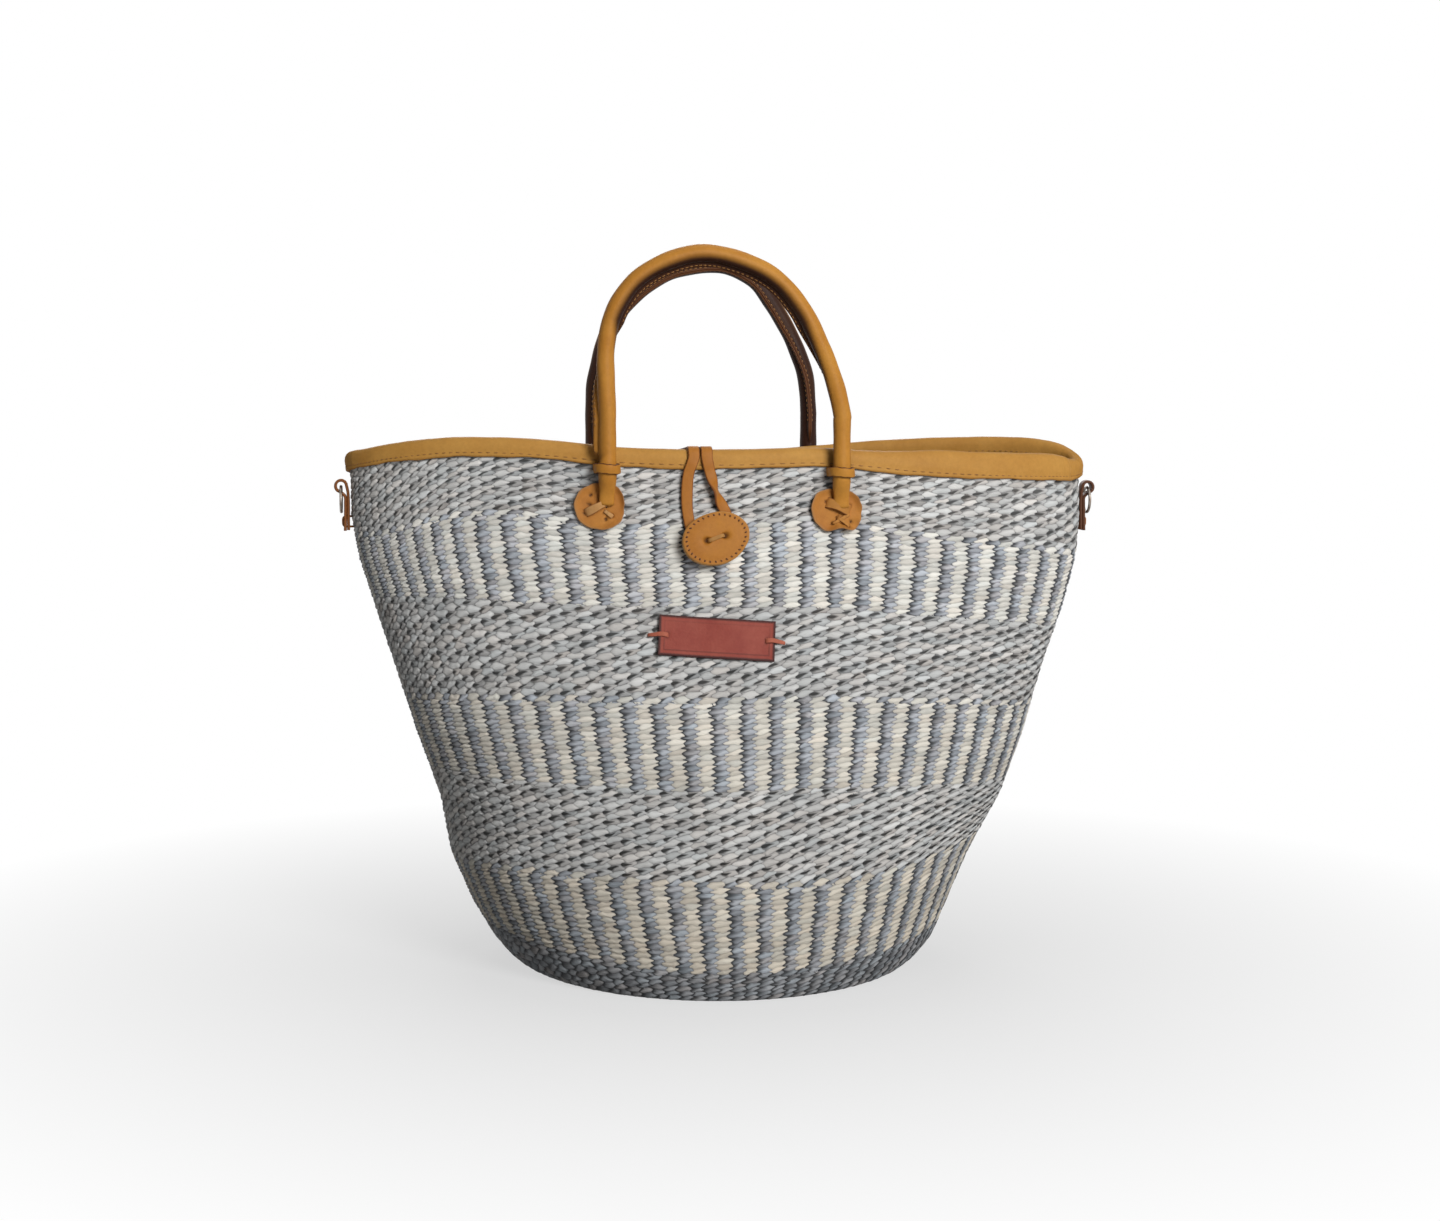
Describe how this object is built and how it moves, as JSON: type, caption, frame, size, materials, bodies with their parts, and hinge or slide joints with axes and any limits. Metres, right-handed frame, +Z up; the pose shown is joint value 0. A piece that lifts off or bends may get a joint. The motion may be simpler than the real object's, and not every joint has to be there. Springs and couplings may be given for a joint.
{
  "type": "kiondo basket",
  "caption": "Soft twined sisal tote with a round base, long oval leather-bound mouth, folding leather handles, strap and button closure, and side rings.",
  "frame": {"origin": "centre of the round base's underside, where the basket rests", "axes": "+Z up; +X to the right-hand end of the long mouth as seen from the front; -Y is the front, with the button and the label"},
  "size_m": [0.4757, 0.268, 0.439],
  "materials": {
    "sisal": "twined sisal, matt",
    "binding_leather": "vegetable-tanned, matt",
    "tan_leather": "vegetable-tanned, satin",
    "label_leather": "red-brown, matt",
    "rope": "twisted fibre",
    "core_board": "leatherboard",
    "thread": "waxed thread",
    "ring_steel": "dulled wire"
  },
  "bodies": {
    "basket": {"woven_body": "sisal", "rim_binding": "binding_leather", "rim_stitching": "thread", "front_left_handle_bend": "tan_leather", "front_left_handle_end": "tan_leather", "front_left_keeper": "tan_leather", "front_left_patch": "tan_leather", "front_left_lacing": "tan_leather", "front_right_handle_bend": "tan_leather", "front_right_handle_end": "tan_leather", "front_right_keeper": "tan_leather", "front_right_patch": "tan_leather", "front_right_lacing": "tan_leather", "back_left_handle_bend": "tan_leather", "back_left_handle_end": "tan_leather", "back_left_keeper": "tan_leather", "back_left_patch": "tan_leather", "back_left_lacing": "tan_leather", "back_right_handle_bend": "tan_leather", "back_right_handle_end": "tan_leather", "back_right_keeper": "tan_leather", "back_right_patch": "tan_leather", "back_right_lacing": "tan_leather", "closure_tail_left": "tan_leather", "closure_tail_right": "tan_leather", "closure_tail_tie": "tan_leather", "label_plate": "label_leather", "label_tie_left": "tan_leather", "label_tie_right": "tan_leather", "left_ring_tab": "tan_leather", "left_ring_tab_tie": "tan_leather", "right_ring_tab": "tan_leather", "right_ring_tab_tie": "tan_leather"},
    "front_handle": {"front_handle_cover": "tan_leather", "front_handle_core": "rope"},
    "back_handle": {"back_handle_cover": "tan_leather", "back_handle_core": "rope"},
    "closure_strap": {"closure_strap_left": "tan_leather", "closure_strap_right": "tan_leather"},
    "closure_loop": {"closure_loop": "tan_leather"},
    "button": {"button_back": "tan_leather", "button_core": "core_board", "button_face": "tan_leather", "button_thong": "tan_leather"},
    "left_ring": {"left_ring": "ring_steel"},
    "right_ring": {"right_ring": "ring_steel"}
  },
  "joints": [
    {"name": "front_handle_fold", "type": "hinge", "parent": "basket", "child": "front_handle", "pos_m": [0, -0.07526, 0.326], "axis": [1, 0, 0], "range_deg": [-35, 165], "deforming": ["front_left_handle_bend", "front_right_handle_bend"]},
    {"name": "back_handle_fold", "type": "hinge", "parent": "basket", "child": "back_handle", "pos_m": [0, 0.07491, 0.326], "axis": [-1, 0, 0], "range_deg": [-35, 165], "deforming": ["back_left_handle_bend", "back_right_handle_bend"]},
    {"name": "closure_strap_lift", "type": "hinge", "parent": "basket", "child": "closure_strap", "pos_m": [-0.0155, 0.05941, 0.31522], "axis": [-1, 0, 0], "range_deg": [0, 80]},
    {"name": "closure_loop_lift", "type": "hinge", "parent": "closure_strap", "child": "closure_loop", "pos_m": [-0.0155, -0.06026, 0.32159], "axis": [-1, 0, 0], "range_deg": [0, 90], "deforming": ["closure_loop"]},
    {"name": "button_turn", "type": "hinge", "parent": "basket", "child": "button", "pos_m": [-0.0078, -0.06945, 0.2645], "axis": [0, -0.9813, 0.1925], "range_deg": [-90, 90]},
    {"name": "left_ring_swing", "type": "hinge", "parent": "basket", "child": "left_ring", "pos_m": [-0.22884, 0, 0.2948], "axis": [0, 1, 0], "range_deg": [0, 150]},
    {"name": "right_ring_swing", "type": "hinge", "parent": "basket", "child": "right_ring", "pos_m": [0.23859, 0, 0.2918], "axis": [0, -1, 0], "range_deg": [0, 150]}
  ]
}
